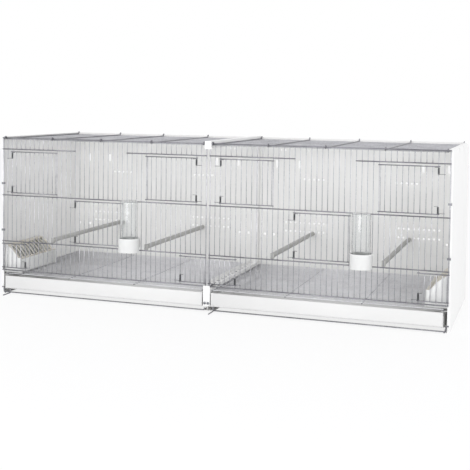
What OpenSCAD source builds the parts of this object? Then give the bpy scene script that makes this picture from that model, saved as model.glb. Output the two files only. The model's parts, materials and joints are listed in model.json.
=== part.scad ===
// Double breeding cage for small birds: painted sheet ends and back, zinc-plated
// wire fronts, roof and floor, and a pull-out tray under each half.
// Millimetres. +X runs along the length, -Y is the front, +Z is up. The origin
// lies under the middle of the whole cage, on the surface that it stands on.

/* [Cage] */
// Length over the two end panels
cage_length = 1200; // [1100:10:1300]
// Depth from the front wires to the outside of the rear sheet
cage_depth = 410; // [380:5:440]
// Height over the roof's rear hooks and the strip over its joint
cage_height = 430; // [380:5:480]
// Gap between the frame rods of the two halves
centre_gap = 10; // [9:0.5:12]
// From the outside of an end panel to the nearest frame rod
end_inset = 5; // [4:0.5:6]
// Clearance between pieces that move or seat on each other
clear = 0.3; // [0.2:0.05:0.4]

/* [Sheet] */
// Thickness of the painted sheet
sheet = 0.7; // [0.6:0.1:1]
// Radius of the bend along the top of an end panel
bend_r = 10; // [8:0.5:10]
// Width of the flanges folded in along an end panel's rear and foot
flange = 14; // [12:0.5:16]
// Width of the flange along its front, behind the frame rod
front_flange = 6; // [5:0.5:8]
// Width of the runners that carry the wire floor
runner = 20; // [18:0.5:24]
// Width of the white strip over the joint of the two roofs
crossbar_w = 18; // [16:0.5:19]
// Depth of the channel under that strip
crossbar_h = 18; // [10:1:24]
// Depth of that strip's fold over the front
crossbar_lip = 20; // [12:1:26]
// Width of the post at the rear of the centre
post_w = 14; // [10:1:20]
// Depth of that post, front to back
post_depth = 12; // [8:1:16]
// Width of the plate between the two trays
plate_w = 18; // [17:0.5:20]
// Lower edge of that plate
plate_bottom = 14; // [12:1:18]

/* [Divider channel] */
// Width of the channel along the centre of the floor
rail_w = 32; // [26:1:36]
// Height of its sides
rail_h = 9; // [7:0.5:14]
// From the front to the channel's front end
rail_setback = 62; // [40:2:80]
// Length of the slots in its base
rail_slot_l = 14; // [10:1:18]
// Width of those slots, one row on each side of the middle
rail_slot_w = 8; // [5:0.5:8]
// Pitch of those slots
rail_slot_pitch = 28; // [24:1:36]

/* [Wire] */
// Bays between the frame rods of one half
bays = 43; // [41:1:45]
// Diameter of the thin wires
wire_d = 2; // [1.6:0.1:2.2]
// Diameter of the rods that cross them
rod_d = 3; // [2.6:0.1:3.2]
// Diameter of the rods of a door
door_rod_d = 2.5; // [2.2:0.1:2.8]
// How far a welded wire sinks into its rod
weld = 0.3; // [0.2:0.05:0.4]

/* [Front] */
// Height of the bottom rod of the front
bottom_z = 64; // [62:0.5:66]
// From the bottom rod up to the low rod, round the feeder doors
feeder_opening = 79; // [70:0.5:84]
// From the top rod down to the header rod
header_drop = 30.5; // [26:0.5:42]
// From the header rod down to the middle rod, round the nest doors
nest_opening = 125; // [102:0.5:130]
// Bays across a nest door or a centre door
door_bays = 10; // [8:1:10]
// Bays across a feeder door
feeder_door_bays = 5; // [4:1:6]
// Bays between a frame rod and the hinge wire of a nest door
nest_offset = 2; // [1:1:3]
// From a fixed rod to the nearest rod of a door
door_inset = 7; // [6:0.5:9]
// How far a door's rods reach past its free edge
door_reach = 2.5; // [1.5:0.5:3]

/* [Springs] */
// Mean radius of a hinge spring
spring_r = 2; // [1.8:0.1:2.6]
// Thickness of its wire
spring_wire = 1; // [0.8:0.1:1]
// Turns of each spring
spring_turns = 5; // [3:1:5]
// Rise of one turn
spring_pitch = 3.2; // [2.6:0.1:3.6]
// Length of the leg that lies on the neighbouring wire
spring_leg = 16; // [15:0.5:18]

/* [Roof] */
// Bays across the roof from front to back
roof_bays = 29; // [25:1:33]
// Rods across each half of the roof
roof_rod_count = 5; // [3:1:7]
// From the centre of the cage to the nearest roof rod
roof_rod_inset = 12; // [11.5:0.5:16]
// Length of the hooks at the ends of the roof rods
hook_drop = 10; // [7:0.5:14]
// How far the roof lies lower than its front hooks
roof_sink = 4.6; // [3.8:0.2:6]
// How far the front stands lower than the sheets
front_step = 1.2; // [0:0.2:2]

/* [Floor] */
// Bays across the wire floor from front to back
floor_bays = 27; // [24:1:32]
// Top of the runners that carry the wire floor
runner_z = 50.8; // [50:0.2:52]
// Underside of a tray, over the ground
tray_z = 13; // [12:0.5:15]
// Top of a tray's front, over the ground
tray_top = 48; // [43:0.5:48]
// Height of its other three walls
tray_wall_h = 24; // [18:1:30]
// How far a tray's front stands before the front wires
tray_proud = 5; // [4.5:0.5:7]
// Height of the base rods over the ground, at their centre
base_rod_z = 3.5; // [3.5:0.5:4.5]
// How far the ends of a front base rod turn up
base_hook_rise = 13; // [9:1:15]

/* [Feeders] */
// Width of a feeder
feeder_w = 56; // [50:1:60]
// Length of a feeder, front to back
feeder_len = 185; // [150:5:220]
// Height of a feeder
feeder_h = 75; // [65:1:76]
// Wall of a feeder
feeder_wall = 1.6; // [1.2:0.1:2]
// Pitch of the slots in its comb
comb_pitch = 15; // [12:1:20]
// Width of a slot
comb_slot = 10; // [7:0.5:11]

/* [Rear holes] */
// Width of the upright slots and of the square windows
slot_w = 6; // [4:0.5:8]
// Height of the upright slots
slot_h = 21; // [15:1:30]
// From the top of the rear sheet down to the slots' middle
slot_drop = 76; // [60:1:90]
// Diameter of the round holes
hole_d = 5; // [4:0.5:6]
// Pitch of the holes in a row
hole_pitch = 14; // [12:0.5:16]
// From the top of the rear sheet down to the upper row of holes
row_drop = 118; // [105:1:130]

/* [Perches] */
// Height of the perches' middle over the ground
perch_z = 153; // [152:1:160]
// Diameter of a perch
perch_d = 12; // [10:0.5:14]
// Depth of the ribs along it
perch_rib = 0.8; // [0.5:0.1:1]
// Height of the plate at its front end
perch_plate_h = 14; // [12:1:40]

/* [Drinkers] */
// Diameter of a drinker's cup
cup_d = 54; // [50:1:58]
// Height of the cup
cup_h = 36; // [30:1:44]
// Wall of the cup
cup_wall = 1.7; // [1.4:0.1:2]
// Height of the clear tube over the cup's floor
tube_h = 130; // [110:5:150]
// Wall of the clear tube
tube_wall = 1.2; // [1:0.1:1.6]
// Gap between the cup's wall and the clear tube
tube_gap = 2.8; // [0.3:0.1:4]
// Outer width of the spout that reaches in between two wires
spout_w = 10.4; // [9:0.2:10.4]
// How far the spout reaches past the wires
spout_reach = 28; // [20:1:34]

/* [Hidden] */

// The two halves: every module takes LEFT or RIGHT
LEFT = 0;
RIGHT = 1;
fine = 48; // segments of a large round piece
coarse = 24; // segments of a bolt or a hole

half_length = cage_length / 2;
pitch = (half_length - centre_gap / 2 - end_inset) / bays;
function bar_x(half, i) = (half == LEFT ? end_inset - half_length : centre_gap / 2) + i * pitch;

// The front wires stand in the plane front_y, the fixed rods just before them
rod_back = wire_d / 2 - weld;
rod_y = -rod_back - rod_d / 2;
rod_face = rod_back + rod_d;
cup_y = -rod_face - clear - cup_d / 2;
cup_proud = rod_face + clear + cup_d;
hook_proud = clear + rod_d;
front_y = (cup_proud - cage_depth - hook_proud) / 2;
back_y = front_y + cage_depth;
frame_back = rod_d - wire_d / 2; // rear face of the frame rods
panel_front = front_y + frame_back;

// The roof's rods climb over the rear sheets and over the front's top rod, and
// between those two they lie lower, with the thin wires under them
rear_hook_z = cage_height - rod_d / 2;
sheet_top = cage_height - rod_d - clear;
front_top = sheet_top - front_step;
top_z = front_top - rod_d / 2;
front_hook_z = front_top + clear + rod_d / 2;
roof_rod_z = front_hook_z - roof_sink;
roof_wire_z = roof_rod_z - rod_d / 2 + weld - wire_d / 2;
low_z = bottom_z + feeder_opening;
header_z = top_z - header_drop;
mid_z = header_z - nest_opening;
roof_edge = half_length - bend_r - clear;

// Doors: their rods pass before the fixed wire at the free edge
door_rod_y = -wire_d / 2 - clear - door_rod_d / 2;
door_wire_y = door_rod_y + door_rod_d / 2 - weld + wire_d / 2;
door_gap = 1.2; // from a door's last wire to the fixed wire at its free edge
eye_r = wire_d / 2 + 1.25 * clear; // inside of a door's eyes
eye_wall = 2;
nest_far = bays - nest_offset;
centre_first = floor((bays - door_bays) / 2);
centre_last = centre_first + door_bays;
feeder_far = bays - feeder_door_bays;
header_first = centre_first;
header_last = centre_last + 1;

// Trays, floor and centre
ledge_z = tray_z - clear; // top of the ledges that carry the trays
tray_outer = half_length - flange - clear;
tray_gap = 2.4; // from the centre plate to a tray
tray_inner = plate_w / 2 + tray_gap;
floor_rod_z = runner_z + clear + rod_d / 2;
floor_wire_z = floor_rod_z + rod_d / 2 - weld + wire_d / 2;
floor_top = floor_wire_z + wire_d / 2;
floor_inner = tray_inner + 2 * clear;
floor_room = 4; // behind the wire floor
floor_depth = cage_depth - frame_back - sheet - floor_room;
plate_front = -rod_face - clear - sheet;
rail_gap = 2; // from the wire floor up to the channel
rail_z = floor_top + rail_gap;
rail_front = panel_front + clear;
rail_len = cage_depth - frame_back - 2 * clear - sheet - post_depth - clear;

// Drinkers hang beside the free edge of the centre door, perches on a wire
cup_bay = centre_last + 2.5;
cup_z = low_z - wire_d / 2;
cup_floor = 2;
tube_d = cup_d - 2 * cup_wall - 2 * tube_gap;
perch_bays = [[11, 31], [12, 32]];
perch_plate_t = 4;
perch_plate_w = 9;

zinc = [0.62, 0.63, 0.66];
white = [0.95, 0.95, 0.94];
grey = [0.72, 0.72, 0.70];
comb_grey = [0.80, 0.78, 0.73];

// ---- Wires: eight flat sides, with a flat towards each axis

module prism(d, h) {
    rotate(22.5)
        cylinder(d = d / cos(22.5), h = h, $fn = 8);
}

module wire_z(x, y, z0, z1, d) {
    translate([x, y, z0])
        prism(d, z1 - z0);
}

module wire_x(x0, x1, y, z, d) {
    translate([min(x0, x1), y, z])
        rotate([0, 90, 0])
            prism(d, abs(x1 - x0));
}

module wire_y(x, y0, y1, z, d) {
    translate([x, y1, z])
        rotate([90, 0, 0])
            prism(d, y1 - y0);
}

// A box between two corners
module block(a, b) {
    translate(a)
        cube(b - a);
}

// ---- End panels: sheet with a round bend at the top and flanges folded inwards

end_slot_w = 10; // slots in the bend, front to back
end_slot_z = [sheet_top - 14, sheet_top - 4];
end_slot_ys = [160, 270]; // behind the front wires

module end_profile() {
    translate([-half_length, 0])
        square([sheet, sheet_top - bend_r]);
    translate([bend_r - half_length, sheet_top - bend_r])
        intersection() {
            difference() {
                circle(r = bend_r, $fn = fine);
                circle(r = bend_r - sheet, $fn = fine);
            }
            translate([-bend_r, 0])
                square(bend_r);
        }
}

module end_panel() {
    inner = sheet - half_length;
    color(white)
        union() {
            difference() {
                translate([0, back_y, 0])
                    rotate([90, 0, 0])
                        linear_extrude(back_y - panel_front)
                            end_profile();
                for (y = end_slot_ys)
                    block([-half_length - sheet, front_y + y - end_slot_w / 2, end_slot_z[0]],
                        [bend_r / 2 - half_length, front_y + y + end_slot_w / 2, end_slot_z[1]]);
            }
            block([inner, panel_front, 0],
                [front_flange - half_length, panel_front + sheet, sheet_top - rod_d]);
            block([inner, back_y - 2 * sheet - clear, 0],
                [flange - half_length, back_y - sheet - clear, sheet_top - rod_d]);
            block([inner, panel_front, 0], [flange - half_length, back_y - sheet - clear, sheet]);
            for (top = [runner_z, ledge_z])
                block([inner, panel_front, top - sheet],
                    [inner + runner, back_y - sheet - clear, top]);
        }
}

module side_panel(half) {
    mirror([half, 0, 0])
        end_panel();
}

// ---- Rear sheets: one behind each half, with their punched holes

small_hole_d = 4;

module hole(x, z, d) {
    translate([x, back_y + sheet, z])
        rotate([90, 0, 0])
            cylinder(d = d, h = 3 * sheet, $fn = coarse);
}

module window(x, z, w, h) {
    block([x - w / 2, back_y - 2 * sheet, z - h / 2], [x + w / 2, back_y + sheet, z + h / 2]);
}

// Places along a half: near lists distances from its centre end, far from its outer end
function places(near, far) = concat([for (x = near) -x], [for (x = far) x - half_length]);

module rear_sheet() {
    color(white)
        difference() {
            block([clear - half_length + sheet, back_y - sheet, 0], [-clear, back_y, sheet_top]);
            for (x = places([59, 127], [50, 120]))
                window(x, sheet_top - slot_drop, slot_w, slot_h);
            for (x = places([25, 53], [17, 52]))
                window(x, low_z + 1, slot_w, slot_w);
            for (first = places([198], [137]), i = [0:4])
                hole(first + i * hole_pitch, sheet_top - row_drop, hole_d);
            for (first = places([201], [73]), rise = [4, 29], i = [0:8])
                hole(first + i * hole_pitch, perch_z + rise, hole_d);
            for (x = places([72, 84, 154], []))
                hole(x, header_z - wire_d, small_hole_d);
        }
}

module back_panel(half) {
    mirror([half, 0, 0])
        rear_sheet();
}

// ---- Centre: post, crossbar, divider channel and the plate between the trays

module rear_post() {
    front = back_y - sheet - clear - post_depth;
    color(white)
        difference() {
            block([-post_w / 2, front, rail_z], [post_w / 2, back_y - sheet - clear,
                sheet_top - crossbar_h]);
            block([sheet - post_w / 2, front + sheet, 0], [post_w / 2 - sheet, back_y, sheet_top]);
        }
}

module roof_crossbar() {
    lip = front_y - rod_face - clear - sheet;
    side_z = cage_height - crossbar_h;
    color(white)
        union() {
            block([-crossbar_w / 2, lip, cage_height - sheet],
                [crossbar_w / 2, back_y, cage_height]);
            block([-crossbar_w / 2, lip, cage_height - crossbar_lip],
                [crossbar_w / 2, lip + sheet, cage_height]);
            for (side = [0, 1])
                mirror([side, 0, 0])
                    block([-crossbar_w / 2, panel_front + clear, side_z],
                        [sheet - crossbar_w / 2, back_y - sheet - clear, cage_height]);
        }
}

foot_setback = 8; // from the channel's front to the front of its foot
foot_runner = runner - 2; // reach of the runners on that foot, each side of the centre

module rail_slots() {
    first = rail_front + rail_setback + (rail_slot_pitch - rail_slot_l) / 2;
    for (y = [first : rail_slot_pitch : rail_front + rail_len - rail_slot_pitch], side = [0, 1])
        mirror([side, 0, 0])
            block([rail_w / 4 - rail_slot_w / 2, y, rail_z - sheet],
                [rail_w / 4 + rail_slot_w / 2, y + rail_slot_l, rail_z + 2 * sheet]);
}

module centre_rail() {
    back = rail_front + rail_len;
    start = rail_front + rail_setback;
    color(white)
        difference() {
            union() {
                block([-rail_w / 2, start, rail_z], [rail_w / 2, back, rail_z + sheet]);
                for (side = [0, 1])
                    mirror([side, 0, 0])
                        block([-rail_w / 2, start, rail_z],
                            [sheet - rail_w / 2, back, rail_z + rail_h]);
                block([-sheet, rail_front, 0], [sheet, back, runner_z]);
                block([-sheet, start, runner_z - sheet], [sheet, back, rail_z + sheet]);
                for (top = [runner_z, ledge_z])
                    block([-foot_runner, top == ledge_z ? rail_front : start, top - sheet],
                        [foot_runner, back, top]);
                block([-rail_w / 2, rail_front + foot_setback, 0], [rail_w / 2, back, sheet]);
                block([-plate_w / 2, rail_front, plate_bottom],
                    [plate_w / 2, rail_front + sheet, rail_z]);
            }
            rail_slots();
            for (x = bolt_xs)
                bolt_hole(x);
        }
}

bolt_d = 4;
bolt_head_d = 7;
bolt_head_h = 2.4;
bolt_tip = rail_front + 3; // where the bolts end behind the channel's front
bolt_z = 21.6;
bolt_xs = [-plate_w / 4, plate_w / 4];

module bolt_hole(x) {
    translate([x, bolt_tip, bolt_z])
        rotate([90, 0, 0])
            cylinder(d = bolt_d + clear, h = bolt_tip - front_y + 2 * rod_face, $fn = coarse);
}

module centre_plate() {
    front = front_y + plate_front;
    color(white)
        difference() {
            union() {
                block([-plate_w / 2, front, plate_bottom],
                    [plate_w / 2, front + sheet, bottom_z + rod_d / 2]);
                for (side = [0, 1])
                    mirror([side, 0, 0])
                        block([-plate_w / 2, front, plate_bottom],
                            [sheet - plate_w / 2, rail_front, bottom_z - rod_d - 2 * clear]);
            }
            for (x = bolt_xs)
                bolt_hole(x);
        }
}

module plate_bolts() {
    front = front_y + plate_front;
    color(zinc)
        for (x = bolt_xs)
            translate([x, front, bolt_z])
                rotate([90, 0, 0])
                    union() {
                        cylinder(d = bolt_head_d, h = bolt_head_h, $fn = coarse);
                        translate([0, 0, front - bolt_tip])
                            cylinder(d = bolt_d, h = bolt_tip - front, $fn = coarse);
                    }
}

// Straps on the end panels' front flanges that hold the frame rods of the front
clip_w = 8.5;
clip_h = 5;
clip_zs = [173, 300];

module clip(z) {
    frame_x = end_inset - half_length;
    slot = rod_d / 2 + clear;
    difference() {
        block([sheet - half_length, front_y - wire_d / 2 - clear - sheet, z - clip_h / 2],
            [sheet - half_length + clip_w, panel_front, z + clip_h / 2]);
        block([frame_x - slot, front_y - wire_d / 2 - clear, z - clip_h],
            [frame_x + slot, panel_front + sheet, z + clip_h]);
    }
}

module front_clips() {
    color(zinc)
        for (side = [0, 1], z = clip_zs)
            mirror([side, 0, 0])
                clip(z);
}

// ---- Roof: thin wires along the cage under rods that hook over front and rear

roof_rod_step = (roof_edge - rod_d / 2 - roof_rod_inset) / (roof_rod_count - 1);
roof_front = front_y + wire_d + clear; // the first and the last thin wire
roof_back = back_y - 2 * (sheet + clear) - rod_d / 2;

module roof_rod(x) {
    r = rod_d / 2;
    climb_front = front_y + wire_d / 2 + clear + r;
    hook_front = front_y - rod_face - clear - r;
    hook_back = back_y + clear + r;
    wire_y(x, climb_front - r, roof_back + r, roof_rod_z, rod_d);
    wire_z(x, climb_front, roof_rod_z, front_hook_z, rod_d);
    wire_y(x, hook_front - r, climb_front + r, front_hook_z, rod_d);
    wire_z(x, hook_front, front_hook_z + r - hook_drop, front_hook_z, rod_d);
    wire_z(x, roof_back, roof_rod_z, rear_hook_z, rod_d);
    wire_y(x, roof_back - r, hook_back + r, rear_hook_z, rod_d);
    wire_z(x, hook_back, rear_hook_z + r - hook_drop, rear_hook_z, rod_d);
}

module roof_grid(half) {
    step = (roof_back - roof_front) / roof_bays;
    color(zinc)
        mirror([half, 0, 0])
            union() {
                for (i = [0 : roof_bays])
                    wire_x(-roof_edge, rod_d / 2 - roof_rod_inset, roof_front + i * step, roof_wire_z,
                        wire_d);
                for (i = [0 : roof_rod_count - 1])
                    roof_rod(-roof_rod_inset - i * roof_rod_step);
            }
}

// ---- Front: the fixed wires stop at the rods round each door opening

levels = [bottom_z, low_z, mid_z, header_z, top_z];
function between(i, a, b) = i > a && i < b;
function kept(i) = [
    !(between(i, 0, feeder_door_bays) || between(i, feeder_far, bays)),
    !between(i, centre_first, centre_last),
    !(between(i, nest_offset, nest_offset + door_bays) || between(i, nest_far - door_bays, nest_far)),
    true];

// Draws wire i of a half in runs, each across the levels that it keeps
module front_wire(half, i) {
    k = kept(i);
    for (s = [0:3], e = [s:3]) {
        whole = len([for (j = [s:e]) if (!k[j]) j]) == 0;
        starts = s == 0 || !k[s - 1];
        ends = e == 3 || !k[e + 1];
        if (whole && starts && ends)
            wire_z(bar_x(half, i), front_y, levels[s] - wire_d / 2, levels[e + 1] + wire_d / 2, wire_d);
    }
}

module front_rod(half, first, last, z) {
    wire_x(bar_x(half, first) - rod_d / 2, bar_x(half, last) + rod_d / 2, front_y + rod_y, z, rod_d);
}

module front_grid(half) {
    frame_y = panel_front - rod_d / 2;
    color(zinc)
        union() {
            for (i = [1 : bays - 1])
                front_wire(half, i);
            for (i = [0, bays])
                wire_z(bar_x(half, i), frame_y, bottom_z - rod_d / 2, front_top, rod_d);
            for (z = [bottom_z, low_z, mid_z, top_z])
                front_rod(half, 0, bays, z);
            front_rod(half, 0, header_first, header_z);
            front_rod(half, header_last, bays, header_z);
        }
}

// ---- Doors: each hangs by eyes on a wire of the front and opens outwards

// side is 1 where the free edge lies towards +X, and -1 where it lies towards -X
module door(half, hinge, side, count, z_low, z_high) {
    x = bar_x(half, hinge);
    edge = count * pitch - wire_d - door_gap;
    color(zinc)
        union() {
            for (k = [1 : count - 1])
                wire_z(x + side * k * pitch, front_y + door_wire_y, z_low - door_rod_d / 2,
                    z_high + door_rod_d / 2, wire_d);
            wire_z(x + side * edge, front_y + door_wire_y, z_low - door_rod_d / 2,
                z_high + door_rod_d / 2, wire_d);
            for (z = [z_low, z_high]) {
                wire_x(x, x + side * (count * pitch + door_reach), front_y + door_rod_y, z, door_rod_d);
                translate([x, front_y, z - door_rod_d / 2])
                    difference() {
                        prism(2 * (eye_r + eye_wall), door_rod_d);
                        translate([0, 0, -1])
                            prism(2 * eye_r, door_rod_d + 2);
                    }
            }
        }
}

// near is true for the door of a pair that is nearer to the frame rod of bar 0
module nest_door(half, near) {
    hinge = near ? nest_offset : nest_far;
    door(half, hinge, near ? 1 : -1, door_bays, mid_z + door_inset, header_z - door_inset);
}

module centre_door(half) {
    door(half, centre_first, 1, door_bays, low_z + door_inset, mid_z - door_inset);
}

module feeder_door(half, near) {
    hinge = near ? feeder_door_bays : feeder_far;
    door(half, hinge, near ? -1 : 1, feeder_door_bays, bottom_z + door_inset, low_z - door_inset);
}

// ---- Hinge springs: each one tube, a leg and then a helix round the hinge wire

spring_steps = 8;
spring_sides = 6;
spring_h = spring_turns * spring_pitch + spring_wire;
last_step = spring_turns * spring_steps;
function helix_point(k) = let (a = 360 * k / spring_steps - 90)
    [spring_r * cos(a), spring_r * sin(a), spring_pitch * k / spring_steps];
spring_path = concat(
    [[-spring_leg, -spring_r, 0]],
    [for (k = [0 : last_step]) helix_point(k)],
    [helix_point(last_step) + [spring_wire, 0, 0]]);
function unit(v) = v / norm(v);
function path_tangent(i) = unit(spring_path[min(i + 1, len(spring_path) - 1)]
    - spring_path[max(i - 1, 0)]);
function path_out(i) = let (k = min(max(i - 1, 0), last_step), a = 360 * k / spring_steps - 90)
    [cos(a), sin(a), 0];
function spring_ring(i) = let (t = path_tangent(i), b = unit(cross(t, path_out(i))), n = cross(b, t))
    [for (j = [0 : spring_sides - 1]) let (a = 360 * j / spring_sides)
        spring_path[i] + spring_wire / 2 * (cos(a) * n + sin(a) * b)];
spring_points = [for (i = [0 : len(spring_path) - 1]) each spring_ring(i)];
spring_last = (len(spring_path) - 1) * spring_sides;
spring_faces = concat(
    [[for (j = [0 : spring_sides - 1]) j]],
    [[for (j = [spring_sides - 1 : -1 : 0]) spring_last + j]],
    [for (i = [0 : len(spring_path) - 2], j = [0 : spring_sides - 1])
        let (a = i * spring_sides, n = (j + 1) % spring_sides)
            each [[a + j, a + spring_sides + j, a + spring_sides + n],
                [a + j, a + spring_sides + n, a + n]]]);
spring_gap = min([for (i = [0 : last_step - 6], j = [i + 6 : last_step])
    norm(helix_point(i) - helix_point(j))]) - spring_wire;
echo(least_gap_between_spring_turns = spring_gap);

module spring(half, hinge, side, z) {
    translate([bar_x(half, hinge), front_y, z + spring_wire / 2])
        mirror([side > 0 ? 0 : 1, 0, 0])
            polyhedron(spring_points, spring_faces, convexity = 4);
}

// A spring over the lower eye of a door, and one under its upper eye
module spring_pair(half, hinge, side, z_low, z_high) {
    spring(half, hinge, side, z_low + door_rod_d / 2 + clear);
    spring(half, hinge, side, z_high - door_rod_d / 2 - clear - spring_h);
}

module hinge_springs(half) {
    color(zinc)
        union() {
            for (near = [true, false]) {
                side = near ? 1 : -1;
                spring_pair(half, near ? nest_offset : nest_far, side, mid_z + door_inset,
                    header_z - door_inset);
                spring(half, near ? feeder_door_bays : feeder_far, -side,
                    bottom_z + door_inset + door_rod_d / 2 + clear);
            }
            spring_pair(half, centre_first, 1, low_z + door_inset, mid_z - door_inset);
        }
}

// ---- Trays: folded sheet, with a tall front whose top is folded back

tray_lip = 5; // depth of the strip folded back along the front's top
tray_room = 6; // behind a tray

module tray_front_profile() {
    face = -tray_proud;
    polygon([
        [face, tray_top], [face, tray_z], [face + sheet, tray_z], [face + sheet, tray_top - sheet],
        [face + tray_lip, tray_top - sheet], [face + tray_lip, tray_top]]);
}

module tray(half) {
    width = tray_outer - tray_inner;
    back = back_y - sheet - tray_room;
    front = front_y - wire_d / 2; // the tall front's end folds reach back to here
    wall_top = tray_z + tray_wall_h;
    color(white)
        mirror([half, 0, 0])
            translate([-tray_outer, 0, 0])
                union() {
                    translate([0, front_y, 0])
                        rotate([90, 0, 90])
                            linear_extrude(width)
                                tray_front_profile();
                    block([0, front_y - tray_proud, tray_z], [width, back, tray_z + sheet]);
                    block([0, back - sheet, tray_z], [width, back, wall_top]);
                    for (x = [0, width - sheet])
                        block([x, front, tray_z], [x + sheet, back, wall_top]);
                    for (x = [0, width - sheet])
                        block([x, front_y - tray_proud, tray_z], [x + sheet, front, tray_top]);
                }
}

// ---- Wire floor: it lies on the runners and slides out over the tray

module floor_grid(half) {
    x0 = -tray_outer;
    x1 = -floor_inner;
    y0 = front_y + wire_d / 2;
    step = (floor_depth - wire_d) / floor_bays;
    rods = 3; // bays between the rods under the wires
    color(zinc)
        mirror([half, 0, 0])
            union() {
                for (i = [0 : floor_bays])
                    wire_x(x0, x1, y0 + i * step, floor_wire_z, wire_d);
                for (i = [0 : rods])
                    wire_y(x0 + rod_d / 2 + i * (x1 - x0 - rod_d) / rods, front_y, front_y + floor_depth,
                        floor_rod_z, rod_d);
            }
}

// ---- Base rods: under the trays, the front pair with turned-up ends and a foot
// each that rises to the tray and reaches forward along the ground

rod_end = 6; // from the outside of an end panel to a front base rod
hook_x = 8; // to its turned-up end
foot_x = 12; // to the foot beside that end
inner_feet = [6.5, 17]; // from the centre of the cage to each half's inner foot
inner_rise = 6; // how far that foot rises past the rod
outer_foot = 31.5; // from the left end panel's outside to the left half's tall foot
foot_reach = 34; // of a tall foot along the ground
rear_rod = 30; // from the rear sheet's outside to a rear base rod

module base_rod_front(half) {
    y = front_y - wire_d / 2;
    y_hook = y - wire_d / 2;
    z_hook = base_rod_z + base_hook_rise;
    inner = -inner_feet[half];
    tall = half == LEFT ? outer_foot - half_length : inner;
    color(zinc)
        mirror([half, 0, 0])
            union() {
                wire_x(rod_end - half_length, rod_d / 2 + inner, y, base_rod_z, rod_d);
                wire_z(hook_x - half_length, y_hook, base_rod_z, z_hook, rod_d);
                wire_x(wire_d - half_length, hook_x + rod_d / 2 - half_length, y_hook, z_hook, rod_d);
                wire_z(foot_x - half_length, y, 0, base_rod_z, rod_d);
                wire_z(inner, y, 0, base_rod_z + inner_rise, rod_d);
                wire_z(tall, y, 0, ledge_z, rod_d);
                wire_y(tall, y - foot_reach, y, rod_d / 2, rod_d);
            }
}

module base_rod_rear(half) {
    y = back_y - rear_rod;
    color(zinc)
        mirror([half, 0, 0])
            union() {
                wire_x(sheet - half_length, -sheet - clear, y, base_rod_z, rod_d);
                wire_z(flange + 2 * rod_d - half_length, y, 0, base_rod_z, rod_d);
            }
}

// ---- Feeders: a trough at each end, closed above by a sloping comb

feeder_gap_x = 2; // from the end panel to a feeder
feeder_gap_y = 3; // from that panel's front flange to it
feeder_rim = 2; // how far its end plates reach past its inner wall
end_plate_t = 2;
comb_t = 1.9; // thickness of the comb, measured upright
comb_edge = 4; // solid strip along its upper edge
comb_foot = 7; // and along its lower edge
comb_foot_z = feeder_h - 35; // height of its lower edge over the feeder's foot
feeder_z = floor_top + clear;
feeder_x = feeder_gap_x - half_length + sheet;
feeder_y = panel_front + sheet + feeder_gap_y;
// Outline of the end plate, from the end panel inwards, over the feeder's foot
slope = [
    [9, feeder_h],
    [feeder_w - 27, feeder_h - 15],
    [feeder_w - 12, comb_foot_z + 1],
    [feeder_w - feeder_rim, comb_foot_z]];

module end_outline() {
    polygon(concat([[0, 0], [0, feeder_h]], slope, [[feeder_w, 0]]));
}

module along_feeder(y, length) {
    translate([feeder_x, feeder_y + y + length, feeder_z])
        rotate([90, 0, 0])
            linear_extrude(length)
                children();
}

module feeder(half) {
    color(white)
        mirror([half, 0, 0])
            union() {
                for (y = [0, feeder_len - end_plate_t])
                    along_feeder(y, end_plate_t)
                        end_outline();
                along_feeder(0, feeder_len) {
                    square([feeder_w, feeder_wall]);
                    square([feeder_wall, feeder_h]);
                    translate([feeder_w - feeder_rim - feeder_wall, 0])
                        square([feeder_wall, comb_foot_z - comb_t - clear]);
                }
            }
}

module feeder_comb(half) {
    inner = feeder_len - 2 * end_plate_t - 2 * clear;
    start = feeder_wall + clear;
    lower = [for (i = [len(slope) - 1 : -1 : 0]) slope[i] - [0, comb_t]];
    slots = floor((inner - comb_pitch / 2) / comb_pitch);
    margin = (inner - slots * comb_pitch + comb_pitch - comb_slot) / 2;
    slot_len = slope[3][0] - slope[0][0] - comb_edge - comb_foot;
    color(comb_grey)
        mirror([half, 0, 0])
            difference() {
                along_feeder(end_plate_t + clear, inner)
                    polygon(concat([[start, feeder_h]], slope, lower, [[start, feeder_h - comb_t]]));
                for (i = [0 : slots - 1])
                    translate([feeder_x + slope[0][0] + comb_edge, feeder_y + end_plate_t + clear + margin
                        + i * comb_pitch, feeder_z])
                        cube([slot_len, comb_slot, feeder_h + 1]);
            }
}

// ---- Perches: ribbed bars, with a plate at the front and a peg at the rear

module perch_section() {
    ribs = 12;
    polygon([for (i = [0 : 2 * ribs - 1])
        let (r = perch_d / 2 - (i % 2) * perch_rib, a = 180 * i / ribs) [r * cos(a), r * sin(a)]]);
}

module perch(half, place) {
    x = bar_x(half, perch_bays[half][place]);
    plate_y = front_y - wire_d / 2 - clear;
    bar_y = front_y + wire_d / 2 + clear + perch_plate_t;
    end_y = back_y - sheet - clear;
    foot = low_z + rod_d / 2 + clear;
    color(grey)
        difference() {
            union() {
                translate([x, end_y, perch_z])
                    rotate([90, 0, 0])
                        linear_extrude(end_y - bar_y)
                            perch_section();
                block([x - perch_plate_w / 2, plate_y, foot],
                    [x + perch_plate_w / 2, bar_y, foot + perch_plate_h]);
            }
            block([x - wire_d / 2 - clear, plate_y - 1, foot - 1],
                [x + wire_d / 2 + clear, front_y + wire_d / 2 + clear, foot + perch_plate_h + 1]);
        }
}

// ---- Drinkers: a cup with a spout between two wires, and a clear tube in it

spout_h = 17; // height of the spout's far end
spout_rise = 15; // how much higher its sides are at the front wires
mouth_w = 10; // notches in the tube's lower end, through which the cup fills
mouth_h = 6;
tube_dome = 6; // radius of the rounding at the tube's top

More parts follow.
